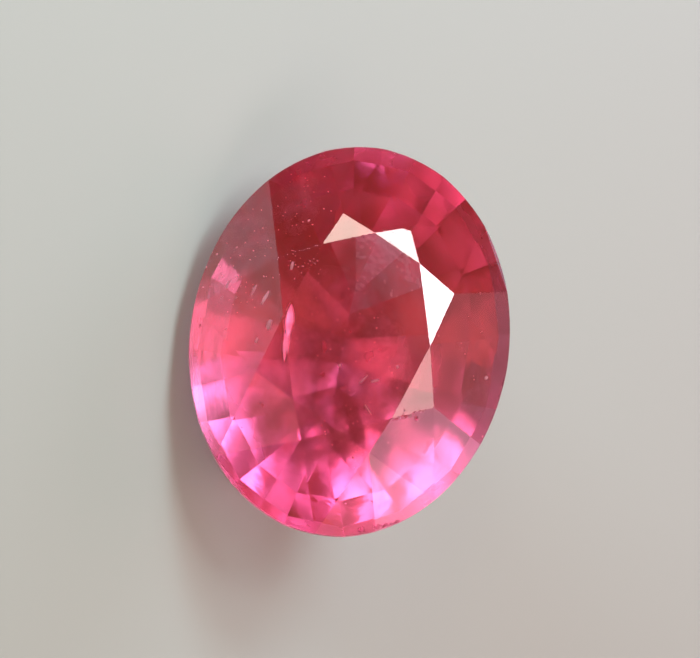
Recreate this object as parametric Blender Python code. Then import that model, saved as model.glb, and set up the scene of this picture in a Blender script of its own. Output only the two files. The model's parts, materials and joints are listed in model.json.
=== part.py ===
"""A loose oval ruby, brilliant cut above and step cut below, lying on one long pavilion facet."""

import math

import bmesh
import bpy
from mathutils import Matrix, Vector

MM = 0.001

# The stone is cut with its table facing +Z and its long axis along Y. The girdle's middle is at Z = 0.
WIDTH = 10.0 * MM
LENGTH = 12.4 * MM
CROWN_HEIGHT = 1.6 * MM
GIRDLE_THICKNESS = 0.3 * MM
GIRDLE_SEGMENTS = 96

# Crown meet points of one quadrant, as (share of the half width, share of the half length).
TABLE_END = (0.0, 0.508)
TABLE_CORNER = (0.307, 0.399)
TABLE_SIDE = (0.463, 0.0)
STAR_TIP_END = (0.212, 0.581)
STAR_TIP_SIDE = (0.56, 0.293)

# Parametric angles on the girdle, in degrees from the +X side: the corner main, and where half facets part.
MAIN_ANGLE = 46.0
HALF_ANGLES = (23.5, 68.5)

# One half facet was ground a little too deep, so it blunts the tip of the star above it.
OVERCUT_FACET = ("end_half", 1, 1)
OVERCUT = 0.03 * MM

# Pavilion rows from the girdle to the keel: slope in degrees, and the depth where the row ends.
PAVILION_ROWS = (
    (54.0, 1.2 * MM),
    (47.0, 2.5 * MM),
    (41.5, 6.0 * MM),
)
PAVILION_SIDES = 16

# The facet that the stone rests on: the last row, and the side that faces -X as cut.
REST_ROW = 2
REST_SIDE = 8

MERGE = 0.0005 * MM

RUBY_RED = (0.42, 0.012, 0.055, 1.0)
RUBY_ROUGHNESS = 0.03
RUBY_IOR = 1.766


def ellipse_point(angle, height=0.0):
    """Point of the girdle outline at a parametric angle in degrees."""
    turn = math.radians(angle)
    return Vector((WIDTH / 2 * math.cos(turn), LENGTH / 2 * math.sin(turn), height))


def plane_through(a, b, c):
    """Point and unit normal of a plane, with the normal facing away from the stone's middle."""
    normal = (b - a).cross(c - a).normalized()
    if normal.dot(a) < 0:
        normal.negate()
    return a, normal


def height_on(plane, spot):
    """The spot moved up or down onto a plane."""
    point, normal = plane
    return spot + Vector((0, 0, normal.dot(point - spot) / normal.z))


def crown_quadrant():
    """The crown facets of the quadrant at +X and +Y, by name, worked out from their meet points."""
    girdle_top = GIRDLE_THICKNESS / 2

    def spot(shares):
        return Vector((shares[0] * WIDTH / 2, shares[1] * LENGTH / 2, CROWN_HEIGHT))

    table_end, table_corner, table_side = spot(TABLE_END), spot(TABLE_CORNER), spot(TABLE_SIDE)
    girdle_side, girdle_end = ellipse_point(0, girdle_top), ellipse_point(90, girdle_top)
    middle_side, middle_end = (ellipse_point(angle, girdle_top) for angle in HALF_ANGLES)

    # The end and side mains lie square to the axes, and each star tip lies on one of them.
    end_main = plane_through(table_end, girdle_end, table_end + Vector((WIDTH, 0, 0)))
    side_main = plane_through(table_side, girdle_side, table_side + Vector((0, LENGTH, 0)))
    tip_end = height_on(end_main, spot(STAR_TIP_END))
    tip_side = height_on(side_main, spot(STAR_TIP_SIDE))
    corner_main = plane_through(table_corner, tip_side, tip_end)
    girdle_corner = height_on(corner_main, ellipse_point(MAIN_ANGLE))

    return {
        "end_main": end_main,
        "side_main": side_main,
        "corner_main": corner_main,
        "end_star": plane_through(table_corner, tip_end, table_end),
        "side_star": plane_through(table_side, tip_side, table_corner),
        "side_half": plane_through(tip_side, girdle_side, middle_side),
        "side_corner_half": plane_through(tip_side, middle_side, girdle_corner),
        "end_corner_half": plane_through(tip_end, girdle_corner, middle_end),
        "end_half": plane_through(tip_end, middle_end, girdle_end),
    }


def crown_planes():
    """The table, and the quadrant's facets mirrored to the other three."""
    planes = [(Vector((0, 0, CROWN_HEIGHT)), Vector((0, 0, 1)))]
    quadrant = crown_quadrant()
    for across in (1, -1):
        for along in (1, -1):
            flip = Vector((across, along, 1))
            for name, (point, normal) in quadrant.items():
                depth = OVERCUT if (name, across, along) == OVERCUT_FACET else 0.0
                planes.append(((point - normal * depth) * flip, normal * flip))
    return planes


def pavilion_plane(row, side):
    """One step facet. It faces as the outline does there, and starts where the row above it ends."""
    angle = 360 * side / PAVILION_SIDES
    turn = math.radians(angle)
    outward = Vector((math.cos(turn) / WIDTH, math.sin(turn) / LENGTH, 0)).normalized()
    start = ellipse_point(angle, -GIRDLE_THICKNESS / 2)
    for slope, row_depth in PAVILION_ROWS[:row]:
        drop = row_depth + start.z
        start -= outward * drop / math.tan(math.radians(slope)) + Vector((0, 0, drop))
    slope = math.radians(PAVILION_ROWS[row][0])
    return start, outward * math.sin(slope) - Vector((0, 0, math.cos(slope)))


def grind(stone, plane):
    """Cuts one flat facet and closes it with a single face."""
    point, normal = plane
    everything = stone.verts[:] + stone.edges[:] + stone.faces[:]
    cut = bmesh.ops.bisect_plane(
        stone, geom=everything, dist=MERGE / 10, plane_co=point, plane_no=normal, clear_outer=True
    )
    rim = [item for item in cut["geom_cut"] if isinstance(item, bmesh.types.BMEdge)]
    open_rim = [edge for edge in rim if edge.is_boundary]
    if open_rim:
        bmesh.ops.edgeloop_fill(stone, edges=open_rim)


def cut_stone():
    """The faceted mesh, table up, ground from an oval blank."""
    stone = bmesh.new()
    bmesh.ops.create_cone(
        stone, cap_ends=True, segments=GIRDLE_SEGMENTS, radius1=0.5, radius2=0.5, depth=LENGTH
    )
    bmesh.ops.scale(stone, vec=(WIDTH, LENGTH, 1), verts=stone.verts)
    for plane in crown_planes():
        grind(stone, plane)
    for row in range(len(PAVILION_ROWS)):
        for side in range(PAVILION_SIDES):
            grind(stone, pavilion_plane(row, side))
    bmesh.ops.remove_doubles(stone, verts=stone.verts, dist=MERGE)
    bmesh.ops.recalc_face_normals(stone, faces=stone.faces)
    mesh = bpy.data.meshes.new("ruby")
    stone.to_mesh(mesh)
    stone.free()
    return mesh


def resting_place(mesh):
    """The turn and shift that lay the stone on its resting facet, with its long axis along X.

    The table then faces -Y and up, and the origin is the middle of the footprint of its box.
    """
    _, normal = pavilion_plane(REST_ROW, REST_SIDE)
    down = normal.rotation_difference(Vector((0, 0, -1))).to_matrix().to_4x4()
    turn = Matrix.Rotation(math.radians(90), 4, "Z") @ down
    spots = [turn @ vertex.co for vertex in mesh.vertices]
    low = Vector(min(spot[axis] for spot in spots) for axis in range(3))
    high = Vector(max(spot[axis] for spot in spots) for axis in range(3))
    return Matrix.Translation(-Vector(((low.x + high.x) / 2, (low.y + high.y) / 2, low.z))) @ turn


def ruby_material():
    material = bpy.data.materials.new("ruby")
    material.use_nodes = True
    shader = material.node_tree.nodes["Principled BSDF"]
    shader.inputs["Base Color"].default_value = RUBY_RED
    shader.inputs["Roughness"].default_value = RUBY_ROUGHNESS
    shader.inputs["Metallic"].default_value = 0.0
    shader.inputs["IOR"].default_value = RUBY_IOR
    shader.inputs["Transmission Weight"].default_value = 1.0
    return material


def main():
    for item in list(bpy.data.objects):
        bpy.data.objects.remove(item)
    collection = bpy.data.collections.new("oval_ruby")
    bpy.context.scene.collection.children.link(collection)
    mesh = cut_stone()
    mesh.materials.append(ruby_material())
    ruby = bpy.data.objects.new("ruby", mesh)
    ruby.matrix_world = resting_place(mesh)
    collection.objects.link(ruby)


main()
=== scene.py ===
# A loose oval-cut ruby on a pale surface: polish, wear, inclusions, studio light and camera.
import json
import math
import random

import bmesh
import bpy
from mathutils import Euler, Matrix, Vector, noise
from mathutils.bvhtree import BVHTree


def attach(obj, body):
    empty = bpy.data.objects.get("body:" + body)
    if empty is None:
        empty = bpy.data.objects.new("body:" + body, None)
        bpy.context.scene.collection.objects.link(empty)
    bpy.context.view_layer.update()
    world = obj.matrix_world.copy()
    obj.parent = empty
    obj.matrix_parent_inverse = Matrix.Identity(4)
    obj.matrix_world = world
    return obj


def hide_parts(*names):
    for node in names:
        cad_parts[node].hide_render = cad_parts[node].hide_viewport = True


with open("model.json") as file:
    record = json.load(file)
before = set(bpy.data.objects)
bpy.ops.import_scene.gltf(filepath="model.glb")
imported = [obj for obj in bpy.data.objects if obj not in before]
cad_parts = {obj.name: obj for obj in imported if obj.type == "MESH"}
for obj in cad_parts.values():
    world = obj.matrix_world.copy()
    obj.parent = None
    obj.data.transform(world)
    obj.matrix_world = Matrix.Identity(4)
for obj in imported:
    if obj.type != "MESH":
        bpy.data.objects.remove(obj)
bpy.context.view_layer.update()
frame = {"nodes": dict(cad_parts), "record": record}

mm = 0.001
scene = bpy.context.scene

# where the stone is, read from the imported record

crownHeight = 1.6 * mm  # from the girdle's middle up to the table
tableMount = next(mount for mount in frame["record"]["mounts"] if mount["name"] == "table")
tableNormal = Vector(tableMount["axis"]).normalized()
longAxis = Vector((-1, 0, 0))  # towards the end of the stone that is up in the photo
shortAxis = longAxis.cross(tableNormal)
girdleMiddle = Vector(tableMount["pos_m"]) - tableNormal * crownHeight


def inStone(across, along, up):
    # a direction or an offset given in the stone's own axes, turned into the frame's
    return shortAxis * across + longAxis * along + tableNormal * up


# camera, at the photograph's view of the stone

photo = {
    "width": 700,
    "height": 658,
    "middle": (350.57, 339.67),  # the girdle's middle, in pixels
    "pixelsPerMm": 31.98,
    "toward": (-0.0853, -0.1874, 0.9786),  # from the stone to the camera, in the stone's axes
    "up": (-0.1977, 0.9658, 0.1677),  # in the stone's axes
    "distance": 0.09,  # metres
    "sensor": 36.0,
    "clip": (0.005, 2.0),
}

pixelSize = mm / photo["pixelsPerMm"]
toCamera = inStone(*photo["toward"]).normalized()
photoRight = inStone(*photo["up"]).cross(toCamera).normalized()
photoUp = toCamera.cross(photoRight)


def photoPoint(x, y):
    # the point behind a pixel of the photograph, in the plane through the girdle's middle
    return (girdleMiddle + photoRight * pixelSize * (x - photo["middle"][0])
            + photoUp * pixelSize * (photo["middle"][1] - y))


eye = photoPoint(photo["width"] / 2, photo["height"] / 2) + toCamera * photo["distance"]


def photoCamera():
    camera = bpy.data.cameras.new("photoCamera")
    camera.sensor_width = photo["sensor"]
    camera.lens = photo["sensor"] * photo["distance"] / (photo["width"] * pixelSize)
    camera.clip_start, camera.clip_end = photo["clip"]
    holder = bpy.data.objects.new("photoCamera", camera)
    scene.collection.objects.link(holder)
    turn = Matrix((photoRight, photoUp, toCamera)).transposed().to_4x4()
    holder.matrix_world = Matrix.Translation(eye) @ turn
    scene.camera = holder


photoCamera()
print("camera is set")

# materials

ruby = {
    "ior": 1.766,
    # the roughness of each part
    "polish": {"crown": 0.015, "girdle": 0.45, "steepRow": 0.24, "middleRow": 0.12, "lastRow": 0.19,
               "chip": 0.12, "wear": 0.16},
    "polishSpread": 0.3,  # share by which one facet's polish differs from the next
    "smudge": {"scale": 700.0, "detail": 4.0, "range": (0.75, 1.35)},  # how the polish changes across a facet
    "wave": {"scale": 1300.0, "height": 0.014 * mm},  # hand-cut facets below the girdle are a little wavy
    "grain": {"scale": 40000.0, "height": 0.004 * mm},
    "grainShare": {"girdle": 1.0, "chip": 0.3},  # the ground girdle and the broken chips
    "scratch": {"stretch": (400.0, 6000.0, 400.0), "turn": (0.3, 0.2, 0.5), "height": 0.00008 * mm},
    "absorptionColor": (0.93, 0.03, 0.37, 1.0),
    "absorptionDensity": 175.0,  # per metre
}
noiseReach = (0.3, 0.7)  # most of a noise texture's values lie between these


def principled(name):
    material = bpy.data.materials.new(name)
    material.use_nodes = True
    tree = material.node_tree
    return material, tree, tree.nodes["Principled BSDF"]


def feed(tree, socket, value):
    # links another node's socket, or sets a plain value
    if isinstance(value, bpy.types.NodeSocket):
        tree.links.new(value, socket)
    else:
        socket.default_value = value


def attributeNode(tree, name):
    node = tree.nodes.new("ShaderNodeAttribute")
    node.attribute_name = name
    return node.outputs["Fac"]


def noiseNode(tree, place, scale, detail=2.0):
    node = tree.nodes.new("ShaderNodeTexNoise")
    feed(tree, node.inputs["Vector"], place)
    feed(tree, node.inputs["Scale"], scale)
    feed(tree, node.inputs["Detail"], detail)
    return node.outputs["Fac"]


def times(tree, first, second):
    node = tree.nodes.new("ShaderNodeMath")
    node.operation = "MULTIPLY"
    feed(tree, node.inputs[0], first)
    feed(tree, node.inputs[1], second)
    return node.outputs[0]


def rangeNode(tree, value, low, high):
    # spreads a noise texture's values over a range
    node = tree.nodes.new("ShaderNodeMapRange")
    ends = {"From Min": noiseReach[0], "From Max": noiseReach[1], "To Min": low, "To Max": high, "Value": value}
    for name, end in ends.items():
        feed(tree, node.inputs[name], end)
    return node.outputs["Result"]


def bumpNode(tree, height, distance, normal=None):
    node = tree.nodes.new("ShaderNodeBump")
    node.inputs["Distance"].default_value = distance
    tree.links.new(height, node.inputs["Height"])
    if normal:
        tree.links.new(normal, node.inputs["Normal"])
    return node.outputs["Normal"]


def rubyMaterial():
    material, tree, shader = principled("rubyPolished")
    place = tree.nodes.new("ShaderNodeTexCoord").outputs["Object"]
    smudge = noiseNode(tree, place, ruby["smudge"]["scale"], ruby["smudge"]["detail"])
    smudge = rangeNode(tree, smudge, *ruby["smudge"]["range"])
    tree.links.new(times(tree, attributeNode(tree, "polish"), smudge), shader.inputs["Roughness"])

    normal = None
    for effect in ("wave", "grain"):
        relief = times(tree, noiseNode(tree, place, ruby[effect]["scale"]), attributeNode(tree, effect))
        normal = bumpNode(tree, relief, ruby[effect]["height"], normal)
    stretched = tree.nodes.new("ShaderNodeMapping")
    stretched.inputs["Scale"].default_value = ruby["scratch"]["stretch"]
    stretched.inputs["Rotation"].default_value = ruby["scratch"]["turn"]
    tree.links.new(place, stretched.inputs["Vector"])
    scratches = noiseNode(tree, stretched.outputs["Vector"], 1.0)
    normal = bumpNode(tree, scratches, ruby["scratch"]["height"], normal)
    tree.links.new(normal, shader.inputs["Normal"])

    shader.inputs["Base Color"].default_value = (1.0, 1.0, 1.0, 1.0)
    shader.inputs["IOR"].default_value = ruby["ior"]
    shader.inputs["Transmission Weight"].default_value = 1.0
    absorption = tree.nodes.new("ShaderNodeVolumeAbsorption")
    absorption.inputs["Color"].default_value = ruby["absorptionColor"]
    absorption.inputs["Density"].default_value = ruby["absorptionDensity"]
    tree.links.new(absorption.outputs["Volume"], tree.nodes["Material Output"].inputs["Volume"])
    return material


# what lies inside the stone: pale crystals, shiny cracks, and healed cracks that are cloudy in patches
inclusion = {
    "crystal": {"light": (1.0, 0.62, 0.60, 1.0), "dark": (1.0, 0.44, 0.46, 1.0), "scale": 2600.0,
                "roughness": 0.3, "metallic": 0.0},
    "crack": {"light": (1.0, 0.26, 0.38, 1.0), "dark": (1.0, 0.13, 0.21, 1.0), "scale": 2600.0,
              "roughness": 0.45, "metallic": 1.0},
    "cloud": {"light": (1.0, 0.18, 0.25, 1.0), "dark": (0.36, 0.025, 0.035, 1.0), "scale": 1900.0,
              "roughness": 0.6, "metallic": 0.0},
}
# size of the cloudy patches, and how much they hide at most of what is behind them
cloudCover = {"scale": 2000.0, "detail": 3.0, "most": 0.6}


def cloudyColorGroup():
    # two colours that run into each other in soft clouds
    group = bpy.data.node_groups.new("cloudyColor", "ShaderNodeTree")
    for name, kind in (("Place", "Vector"), ("Scale", "Float"), ("Dark", "Color"), ("Light", "Color")):
        group.interface.new_socket(name, in_out="INPUT", socket_type="NodeSocket" + kind)
    group.interface.new_socket("Color", in_out="OUTPUT", socket_type="NodeSocketColor")
    given = group.nodes.new("NodeGroupInput").outputs
    result = group.nodes.new("NodeGroupOutput").inputs
    mix = group.nodes.new("ShaderNodeMixRGB")
    share = rangeNode(group, noiseNode(group, given["Place"], given["Scale"]), 0.0, 1.0)
    group.links.new(share, mix.inputs["Fac"])
    group.links.new(given["Dark"], mix.inputs["Color1"])
    group.links.new(given["Light"], mix.inputs["Color2"])
    group.links.new(mix.outputs["Color"], result["Color"])
    return group


cloudyColor = cloudyColorGroup()


def inclusionMaterial(kind):
    values = inclusion[kind]
    material, tree, shader = principled(kind + "Inclusion")
    place = tree.nodes.new("ShaderNodeTexCoord").outputs["Object"]
    cloudy = tree.nodes.new("ShaderNodeGroup")
    cloudy.node_tree = cloudyColor
    cloudy.inputs["Scale"].default_value = values["scale"]
    cloudy.inputs["Dark"].default_value = values["dark"]
    cloudy.inputs["Light"].default_value = values["light"]
    tree.links.new(place, cloudy.inputs["Place"])
    tree.links.new(cloudy.outputs["Color"], shader.inputs["Base Color"])
    shader.inputs["Roughness"].default_value = values["roughness"]
    shader.inputs["Metallic"].default_value = values["metallic"]
    if kind == "cloud":
        patches = noiseNode(tree, place, cloudCover["scale"], cloudCover["detail"])
        patches = rangeNode(tree, patches, 0.0, cloudCover["most"])
        tree.links.new(times(tree, patches, attributeNode(tree, "fade")), shader.inputs["Alpha"])
    return material


inclusionMaterials = {kind: inclusionMaterial(kind) for kind in inclusion}
print("materials are made")

# the cut stone

stone = {
    "merge": 0.0005 * mm,
    "flat": math.radians(0.05),  # triangles closer than this lie on one facet
    "ridge": math.radians(4),  # edges sharper than this are worn
    "edgeWear": 0.009 * mm,  # how far a worn strip reaches on each side of its ridge
    "girdleHalf": 0.13 * mm,
    # the least slope of each row of facets below the girdle, in degrees
    "rowSlopes": {"steepRow": 50.5, "middleRow": 44.0, "lastRow": 0.0},
    "stepIn": 0.005,  # a line of sight that misses the stone moves in by this share at a time
    "seed": 4,
}

# small breaks, each a row of bites from one pixel to another: how many, their size in mm, and how ragged
chips = {
    "starNick": {"from": (390.0, 420.5), "to": (411.0, 415.0), "bites": 12, "size": 0.06, "ragged": 0.35},
    "starNickEnd": {"from": (413.0, 413.0), "to": (427.0, 409.5), "bites": 8, "size": 0.042, "ragged": 0.4},
    "starChip": {"from": (415.0, 417.5), "to": (418.0, 419.0), "bites": 3, "size": 0.085, "ragged": 0.3},
    "starPit": {"from": (403.5, 409.0), "to": (404.5, 411.0), "bites": 2, "size": 0.03, "ragged": 0.2},
    "girdleBreak": {"from": (372.0, 527.0), "to": (399.0, 522.0), "bites": 8, "size": 0.07, "ragged": 0.5},
    "girdleBite": {"from": (359.0, 530.5), "to": (364.0, 530.0), "bites": 2, "size": 0.10, "ragged": 0.2},
    "rightEdge": {"from": (501.0, 397.0), "to": (505.5, 376.0), "bites": 7, "size": 0.055, "ragged": 0.6},
    "topEdge": {"from": (392.0, 152.0), "to": (399.0, 154.0), "bites": 3, "size": 0.05, "ragged": 0.4},
    "leftSpeck": {"from": (200.0, 325.0), "to": (200.5, 326.0), "bites": 1, "size": 0.05, "ragged": 0.2},
    "hairNick": {"from": (236.0, 400.0), "to": (240.0, 406.0), "bites": 5, "size": 0.02, "ragged": 0.2},
    "farSide": {"from": (247.0, 186.0), "to": (251.0, 182.5), "bites": 3, "size": 0.06, "ragged": 0.4},
    "lowPit": {"from": (345.0, 503.0), "to": (346.5, 503.5), "bites": 2, "size": 0.028, "ragged": 0.1},
    "endPit": {"from": (371.5, 501.5), "to": (372.5, 502.0), "bites": 2, "size": 0.03, "ragged": 0.1},
}
# one bite: its radius and its lift over the surface as shares, its shape, its rough skin, and how far from
# its middle the stone looks broken
bite = {"radius": (0.75, 1.25), "lift": (0.1, 0.5), "stretch": (1.3, 1.0, 0.7), "rough": 0.25, "reach": 1.6}


def partOf(mesh, face):
    # which part of the stone a face belongs to, from its width, its height over the girdle and its slope
    ends = [mesh.vertices[index].co for index in face.vertices]
    longest = max((first - second).length for first in ends for second in ends)
    if face.area < 2 * stone["edgeWear"] * longest:
        return "wear"
    height = (face.center - girdleMiddle).dot(tableNormal)
    if abs(height) < stone["girdleHalf"]:
        return "girdle"
    if height > 0:
        return "crown"
    slope = math.degrees(face.normal.angle(-tableNormal, 0.0))
    return next(row for row, least in stone["rowSlopes"].items() if slope >= least)


def onStone(tree, x, y):
    # where the line of sight through a pixel meets the stone; just outside, it steps in to the edge
    spot = None
    while spot is None:
        spot, normal, _, _ = tree.ray_cast(eye, (photoPoint(x, y) - eye).normalized())
        x += (photo["middle"][0] - x) * stone["stepIn"]
        y += (photo["middle"][1] - y) * stone["stepIn"]
    return spot, normal


def randomTurn(draw):
    return Euler([draw.uniform(0, math.tau) for _ in range(3)]).to_matrix().to_4x4()


def chipCutter(tree):
    # ragged little lumps, half sunk in the surface, and where each one bites
    draw = random.Random(stone["seed"])
    work = bmesh.new()
    bites = []
    for chip in chips.values():
        size = chip["size"] * mm
        for index in range(chip["bites"]):
            share = (index + 0.5) / chip["bites"]
            x, y = (low + (high - low) * share for low, high in zip(chip["from"], chip["to"]))
            spread = chip["ragged"] * size / pixelSize
            spot, normal = onStone(tree, x + draw.uniform(-spread, spread), y + draw.uniform(-spread, spread))
            radius = size * draw.uniform(*bite["radius"])
            turn = randomTurn(draw)
            place = Matrix.Translation(spot + normal * radius * draw.uniform(*bite["lift"])) @ turn
            stretch = Matrix.Diagonal((*bite["stretch"], 1.0))
            made = bmesh.ops.create_icosphere(work, subdivisions=2, radius=radius, matrix=place @ stretch)
            for vertex in made["verts"]:
                vertex.co += (vertex.co - spot) * bite["rough"] * draw.uniform(-1, 1)
            bites.append((spot, radius))
    mesh = bpy.data.meshes.new("chipCutter")
    work.to_mesh(mesh)
    work.free()
    return mesh, bites


def takeAway(piece, cutterMesh):
    # cuts the lumps out of the piece and keeps the result as its plain mesh
    cutter = bpy.data.objects.new("chipCutter", cutterMesh)
    scene.collection.objects.link(cutter)
    cut = piece.modifiers.new("chips", "BOOLEAN")
    cut.object = cutter
    cut.operation = "DIFFERENCE"
    cut.solver = "EXACT"
    cut.use_self = True
    bpy.context.view_layer.update()
    whole = piece.evaluated_get(bpy.context.evaluated_depsgraph_get())
    piece.data = bpy.data.meshes.new_from_object(whole)
    piece.modifiers.clear()
    bpy.data.objects.remove(cutter)


def writeFinish(mesh, bites):
    # the finish of each face: polished or ground by part, and broken where a chip came off
    draw = random.Random(stone["seed"])
    polish = mesh.attributes.new("polish", "FLOAT", "FACE")
    wave = mesh.attributes.new("wave", "FLOAT", "FACE")
    grain = mesh.attributes.new("grain", "FLOAT", "FACE")
    for face in mesh.polygons:
        spread = 1 + ruby["polishSpread"] * draw.uniform(-1, 1)
        broken = any((face.center - spot).length < bite["reach"] * radius for spot, radius in bites)
        part = "chip" if broken else partOf(mesh, face)
        polish.data[face.index].value = ruby["polish"][part] * spread
        wave.data[face.index].value = 1.0 if part in stone["rowSlopes"] else 0.0
        grain.data[face.index].value = ruby["grainShare"].get(part, 0.0)


def cutStone(node):
    # a copy of the node with whole facets, worn ridges and chips, and the unworn facets to look through
    mesh = node.data.copy()
    mesh.materials.clear()
    work = bmesh.new()
    work.from_mesh(mesh)
    bmesh.ops.remove_doubles(work, verts=work.verts, dist=stone["merge"])
    bmesh.ops.dissolve_limit(work, angle_limit=stone["flat"], verts=work.verts, edges=work.edges,
                             use_dissolve_boundaries=False)
    tree = BVHTree.FromBMesh(work)
    ridges = [edge for edge in work.edges if edge.calc_face_angle() > stone["ridge"]]
    bmesh.ops.bevel(work, geom=ridges, offset=stone["edgeWear"], offset_type="OFFSET", affect="EDGES",
                    segments=1, profile=0.5, material=-1, clamp_overlap=True)
    work.to_mesh(mesh)
    work.free()
    piece = bpy.data.objects.new("cutRuby", mesh)
    scene.collection.objects.link(piece)
    cutterMesh, bites = chipCutter(tree)
    takeAway(piece, cutterMesh)
    piece.data.name = "cutRuby"
    piece.data.shade_flat()
    writeFinish(piece.data, bites)
    piece.data.materials.clear()
    piece.data.materials.append(rubyMaterial())
    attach(piece, "root")
    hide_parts("ruby")
    print("stone:", len(piece.data.polygons), "faces")
    return tree


stoneTree = cutStone(frame["nodes"]["ruby"])

# what lies inside the stone, placed along the lines of sight through the photograph's pixels

inner = {
    "clear": 0.02,  # mm under the surface, where the rest of a line of sight is measured from
    "deepest": 0.8,  # nothing lies farther along a line of sight than this share of it
}


def sightInside(x, y):
    # how the line of sight through a pixel enters the stone, which way it bends, and how far it runs
    look = (photoPoint(x, y) - eye).normalized()
    entry, normal = onStone(stoneTree, x, y)
    slowing = 1 / ruby["ior"]
    facing = -look.dot(normal)
    inward = look * slowing + normal * (slowing * facing - math.sqrt(1 - slowing ** 2 * (1 - facing ** 2)))
    start = entry + inward * inner["clear"] * mm
    far = stoneTree.ray_cast(start, inward)[3]
    return entry, inward, far or 0.0


def placeInside(x, y, depth):
    # a point at a depth in mm under a pixel, kept clear of the far side of the stone
    entry, inward, far = sightInside(x, y)
    return entry + inward * min(depth * mm, far * inner["deepest"])


def insidePiece(name, work, kind):
    mesh = bpy.data.meshes.new(name)
    work.to_mesh(mesh)
    work.free()
    mesh.shade_smooth()
    mesh.materials.append(inclusionMaterials[kind])
    piece = bpy.data.objects.new(name, mesh)
    scene.collection.objects.link(piece)
    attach(piece, "root")
    print(name + ":", len(mesh.polygons), "faces")


# single crystals and cracks: their two ends in pixels, depth under the surface (and how much deeper the
# second end lies), width and thickness in mm
crystals = {
    "longNeedle": {"from": (261.5, 304.5), "to": (269.0, 290.5), "depth": 0.7, "width": 0.10, "thick": 0.08},
    "secondNeedle": {"from": (250.5, 296.5), "to": (257.0, 284.0), "depth": 1.0, "width": 0.08, "thick": 0.06},
    "riceGrain": {"from": (267.5, 329.5), "to": (271.0, 319.5), "depth": 0.9, "width": 0.17, "thick": 0.12},
    "upperGrain": {"from": (291.0, 270.0), "to": (293.0, 261.5), "depth": 0.5, "width": 0.09, "thick": 0.08},
    "paleNeedle": {"from": (226.5, 289.0), "to": (230.5, 280.0), "depth": 1.0, "width": 0.06, "thick": 0.05},
    "rimNeedle": {"from": (255.5, 343.5), "to": (257.5, 337.0), "depth": 0.6, "width": 0.06, "thick": 0.05},
    "wisp": {"from": (359.5, 383.5), "to": (368.0, 375.0), "depth": 0.9, "width": 0.05, "thick": 0.04},
    "shortWisp": {"from": (371.0, 382.0), "to": (379.0, 380.0), "depth": 0.9, "width": 0.07, "thick": 0.05},
    "lowWisp": {"from": (364.5, 404.0), "to": (371.5, 415.0), "depth": 1.2, "width": 0.045, "thick": 0.04},
    "midDot": {"from": (338.5, 366.5), "to": (341.0, 364.5), "depth": 0.8, "width": 0.08, "thick": 0.06},
    "rightDot": {"from": (396.0, 367.5), "to": (399.0, 366.5), "depth": 1.2, "width": 0.11, "thick": 0.08},
    "lowDot": {"from": (352.0, 458.0), "to": (353.5, 457.0), "depth": 0.7, "width": 0.08, "thick": 0.07},
    "topDot": {"from": (308.0, 221.5), "to": (310.0, 219.5), "depth": 0.5, "width": 0.07, "thick": 0.06},
    "rimDot": {"from": (484.8, 379.0), "to": (487.6, 376.6), "depth": 0.09, "width": 0.11, "thick": 0.09},
    "leftDot": {"from": (216.0, 254.8), "to": (218.0, 253.5), "depth": 0.3, "width": 0.06, "thick": 0.05},
}
cracks = {
    "longFeather": {"from": (288.0, 338.0), "to": (291.5, 303.5), "depth": 0.35, "drop": 0.11,
                    "width": 0.29, "thick": 0.03},
    "featherTail": {"from": (284.3, 362.0), "to": (288.6, 322.0), "depth": 0.40, "drop": 0.13,
                    "width": 0.17, "thick": 0.03},
}
crackFacing = (toCamera + photoUp * 0.29 - photoRight * 0.045).normalized()  # catches the lowest softbox
# a taper of 1 gives an ellipsoid, less fills out its ends, and more draws them to points
spindle = {"segments": 12, "rings": 8, "wobble": (0.85, 1.15), "crystalTaper": 0.5, "crackTaper": 1.6,
           "merge": 0.0002 * mm}


def endsToFrame(first, second, towards):
    # the middle of a spindle between two points, turned along them with its flat side towards a direction
    along = (second - first).normalized()
    side = towards.cross(along).normalized()
    turn = Matrix((along, side, along.cross(side))).transposed().to_4x4()
    return Matrix.Translation((first + second) / 2) @ turn, (second - first).length / 2


def spindles(name, table, kind, taper, towards):
    # crystals or cracks with their flat side towards a direction
    draw = random.Random(stone["seed"])
    work = bmesh.new()
    for values in table.values():
        first = placeInside(*values["from"], values["depth"])
        second = placeInside(*values["to"], values["depth"] + values.get("drop", 0.0))
        place, half = endsToFrame(first, second, towards)
        shape = Matrix.Diagonal((half, values["width"] * mm / 2, values["thick"] * mm / 2, 1.0))
        made = bmesh.ops.create_uvsphere(work, u_segments=spindle["segments"], v_segments=spindle["rings"],
                                         radius=1.0)
        bmesh.ops.rotate(work, verts=made["verts"], matrix=Matrix.Rotation(math.radians(90), 3, "Y"))
        for vertex in made["verts"]:
            side = max(1 - vertex.co.x ** 2, 0.0) ** 0.5
            vertex.co.yz *= (side ** taper) / max(side, 0.001) * draw.uniform(*spindle["wobble"])
            vertex.co = place @ shape @ vertex.co
    bmesh.ops.remove_doubles(work, verts=work.verts, dist=spindle["merge"])
    insidePiece(name, work, kind)


spindles("needleCrystals", crystals, "crystal", spindle["crystalTaper"], toCamera)
spindles("featherCracks", cracks, "crack", spindle["crackTaper"], crackFacing)

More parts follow.
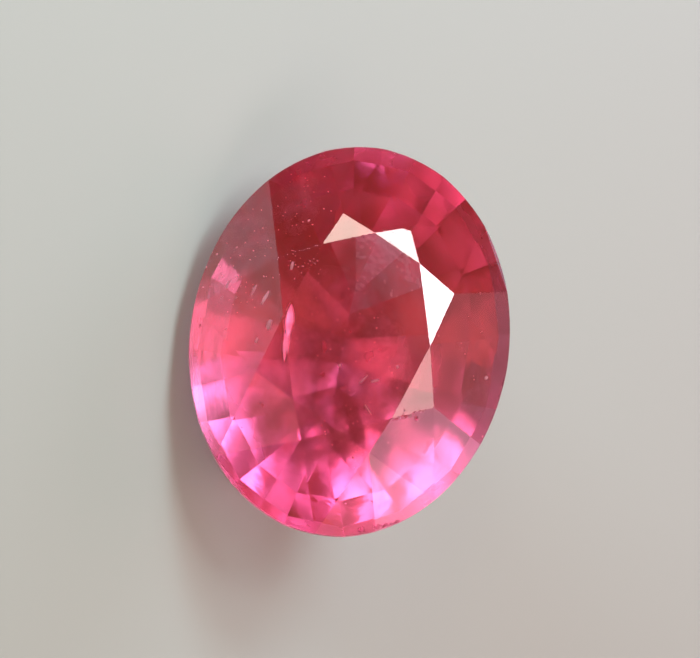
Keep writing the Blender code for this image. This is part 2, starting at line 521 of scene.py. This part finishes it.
# scattered pinpoints: the middle and spread of each swarm in pixels, how many, and depths and sizes in mm
swarms = {
    "upper": {"middle": (303.0, 195.0), "spread": (10.0, 18.0), "count": 22,
              "depth": (0.3, 1.6), "size": (0.008, 0.024)},
    "shoulder": {"middle": (268.0, 222.0), "spread": (18.0, 12.0), "count": 18,
                 "depth": (0.3, 1.3), "size": (0.008, 0.022)},
    "left": {"middle": (240.0, 282.0), "spread": (18.0, 22.0), "count": 46,
             "depth": (0.3, 1.5), "size": (0.008, 0.028)},
    "corner": {"middle": (300.0, 264.0), "spread": (12.0, 6.0), "count": 16,
               "depth": (0.4, 1.4), "size": (0.010, 0.028)},
    "table": {"middle": (362.0, 335.0), "spread": (32.0, 46.0), "count": 40,
              "depth": (0.4, 2.0), "size": (0.007, 0.018)},
    "low": {"middle": (345.0, 430.0), "spread": (34.0, 26.0), "count": 16,
            "depth": (0.4, 1.6), "size": (0.007, 0.020)},
    "right": {"middle": (466.0, 345.0), "spread": (16.0, 34.0), "count": 8,
              "depth": (0.3, 1.2), "size": (0.008, 0.020)},
}
pinpoint = {"long": (1.0, 2.2), "flat": (0.6, 1.0), "seed": 5}  # how long and how flat, against its width


def pinpoints():
    draw = random.Random(pinpoint["seed"])
    work = bmesh.new()
    for swarm in swarms.values():
        for _ in range(swarm["count"]):
            x, y = (draw.gauss(middle, spread) for middle, spread in zip(swarm["middle"], swarm["spread"]))
            spot = placeInside(x, y, draw.uniform(*swarm["depth"]))
            turn = randomTurn(draw)
            shape = Matrix.Diagonal((draw.uniform(*pinpoint["long"]), 1.0, draw.uniform(*pinpoint["flat"]), 1.0))
            bmesh.ops.create_icosphere(work, subdivisions=1, radius=draw.uniform(*swarm["size"]) * mm,
                                       matrix=Matrix.Translation(spot) @ turn @ shape)
    insidePiece("pinpointCrystals", work, "crystal")


pinpoints()

# healed cracks: thin curved lenses, cloudy in patches. The middle is in pixels, the half sizes, depth and
# bend in mm, and the lean in degrees.
veils = {
    "tableVeil": {"middle": (352.0, 345.0), "half": (1.7, 2.7), "lean": 25.0, "depth": 2.0, "bend": 0.35},
    "keelVeil": {"middle": (338.0, 388.0), "half": (1.2, 2.2), "lean": 35.0, "depth": 2.6, "bend": 0.3},
    "lowVeil": {"middle": (318.0, 440.0), "half": (1.5, 1.1), "lean": 15.0, "depth": 1.5, "bend": 0.2},
    "leftVeil": {"middle": (262.0, 400.0), "half": (0.7, 1.3), "lean": 10.0, "depth": 1.2, "bend": 0.2},
    "headVeil": {"middle": (298.0, 205.0), "half": (0.8, 1.2), "lean": -12.0, "depth": 0.9, "bend": 0.15},
    "shoulderVeil": {"middle": (248.0, 235.0), "half": (1.0, 0.8), "lean": -30.0, "depth": 0.8, "bend": 0.15},
}
# thickness in mm, and how much a lens bends lengthwise and ripples, against its bend crosswise
lens = {"thick": 0.015, "lengthwise": 0.5, "ripple": 0.6, "segments": 32, "rings": 16}


def veilShape(veil):
    # from a lens's own flat coordinates to its bent place in the stone
    middle = placeInside(*veil["middle"], veil["depth"])
    turn = Matrix.Rotation(math.radians(veil["lean"]), 4, toCamera)
    across = (turn @ photoRight) * veil["half"][0] * mm
    along = (turn @ photoUp) * veil["half"][1] * mm

    def bent(u, v, height):
        spot = middle + across * u + along * v
        sag = veil["bend"] * (u * u + lens["lengthwise"] * v * v + lens["ripple"] * noise.noise(spot / mm))
        return spot + toCamera * (height - sag) * mm

    return bent


def cloudVeil(name, veil):
    bent = veilShape(veil)
    work = bmesh.new()
    fade = work.verts.layers.float.new("fade")
    bmesh.ops.create_uvsphere(work, u_segments=lens["segments"], v_segments=lens["rings"], radius=1.0)
    for vertex in work.verts:
        u, v, height = vertex.co
        vertex[fade] = max(1 - u * u - v * v, 0.0)
        vertex.co = bent(u, v, height * lens["thick"] / 2)
    insidePiece(name, work, "cloud")


for name, veil in veils.items():
    cloudVeil(name, veil)

# the surface it lies on

surface = {"size": 0.6, "color": (0.46, 0.55, 0.44, 1.0), "roughness": 0.6, "gap": 0.01 * mm}


def paleSurface():
    work = bmesh.new()
    bmesh.ops.create_grid(work, x_segments=1, y_segments=1, size=surface["size"])
    bmesh.ops.translate(work, vec=(0, 0, -surface["gap"]), verts=work.verts)
    mesh = bpy.data.meshes.new("paleSurface")
    work.to_mesh(mesh)
    work.free()
    floor = bpy.data.objects.new("paleSurface", mesh)
    scene.collection.objects.link(floor)
    material, _, shader = principled("palePaper")
    shader.inputs["Base Color"].default_value = surface["color"]
    shader.inputs["Roughness"].default_value = surface["roughness"]
    mesh.materials.append(material)


paleSurface()
print("surface is laid")

# light

lamps = {
    # where each softbox stands: azimuth from +X and height in degrees, seen from the stone, then its
    # half angles across and up, its radiance and its tint
    "key": {"place": (-155.0, 47.0), "half": (2.3, 2.3), "radiance": 13.0, "tint": (1.0, 0.98, 0.95)},
    "keyHigh": {"place": (-163.0, 69.0), "half": (2.5, 2.5), "radiance": 13.0, "tint": (1.0, 0.98, 0.95)},
    "side": {"place": (-136.7, 31.0), "half": (2.3, 2.3), "radiance": 8.0, "tint": (1.0, 0.88, 0.76)},
    "over": {"place": (-103.0, 82.0), "half": (2.8, 2.8), "radiance": 4.4, "tint": (1.0, 0.84, 0.80)},
    "right": {"place": (38.0, 62.0), "half": (20.0, 9.0), "radiance": 2.3, "tint": (1.0, 0.68, 0.90)},
    "low": {"place": (-119.0, 10.0), "half": (11.0, 9.0), "radiance": 20.0, "tint": (0.55, 0.76, 1.0)},
    "front": {"place": (-103.0, 37.5), "half": (16.0, 5.0), "radiance": 3.2, "tint": (1.0, 0.60, 0.55)},
    "frontLow": {"place": (-72.0, 10.0), "half": (18.0, 8.0), "radiance": 0.9, "tint": (1.0, 0.36, 0.38)},
    "sky": {"place": (-55.0, 50.0), "half": (12.0, 10.0), "radiance": 0.5, "tint": (1.0, 0.65, 0.40)},
    "end": {"place": (180.0, 50.0), "half": (10.0, 9.0), "radiance": 14.0, "tint": (0.64, 0.76, 0.96)},
    "endHigh": {"place": (178.0, 70.0), "half": (9.0, 8.0), "radiance": 8.0, "tint": (0.78, 0.80, 1.0)},
    "rim": {"place": (140.0, 16.0), "half": (14.0, 12.0), "radiance": 5.6, "tint": (0.70, 0.68, 1.0)},
    "back": {"place": (105.0, 30.0), "half": (14.0, 12.0), "radiance": 2.1, "tint": (1.0, 0.45, 0.60)},
    "backHigh": {"place": (110.0, 60.0), "half": (12.0, 10.0), "radiance": 0.7, "tint": (1.0, 0.60, 0.70)},
    "far": {"place": (2.0, 47.0), "half": (19.0, 12.0), "radiance": 0.7, "tint": (1.0, 0.72, 0.62)},
}
studio = {
    "lampDistance": 0.12,  # metres
    "color": (1.0, 0.46, 0.20, 1.0),
    "strength": 0.24,
    "bounces": 24,  # light runs round a gem many times before it leaves
    "seeThrough": 32,  # cloudy sheets that one line of sight may pass
}


def softbox(name, place, half, radiance, tint):
    around, height = (math.radians(angle) for angle in place)
    level = math.cos(height)
    back = Vector((math.cos(around) * level, math.sin(around) * level, math.sin(height)))
    across = Vector((-math.sin(around), math.cos(around), 0))
    light = bpy.data.lights.new(name, "AREA")
    light.shape = "RECTANGLE"
    light.size = 2 * studio["lampDistance"] * math.tan(math.radians(half[0]))
    light.size_y = 2 * studio["lampDistance"] * math.tan(math.radians(half[1]))
    light.energy = radiance * math.pi * light.size * light.size_y
    light.color = tint
    lamp = bpy.data.objects.new(name, light)
    scene.collection.objects.link(lamp)
    turn = Matrix((across, back.cross(across), back)).transposed().to_4x4()
    lamp.matrix_world = Matrix.Translation(girdleMiddle + back * studio["lampDistance"]) @ turn
    lamp.visible_camera = False


for name, lamp in lamps.items():
    softbox(name, **lamp)

world = bpy.data.worlds.new("studio")
world.use_nodes = True
background = world.node_tree.nodes["Background"]
background.inputs["Color"].default_value = studio["color"]
background.inputs["Strength"].default_value = studio["strength"]
scene.world = world
scene.view_settings.view_transform = "Standard"
scene.cycles.max_bounces = studio["bounces"]
scene.cycles.glossy_bounces = studio["bounces"]
scene.cycles.transmission_bounces = studio["bounces"]
scene.cycles.transparent_max_bounces = studio["seeThrough"]
print("light is set")
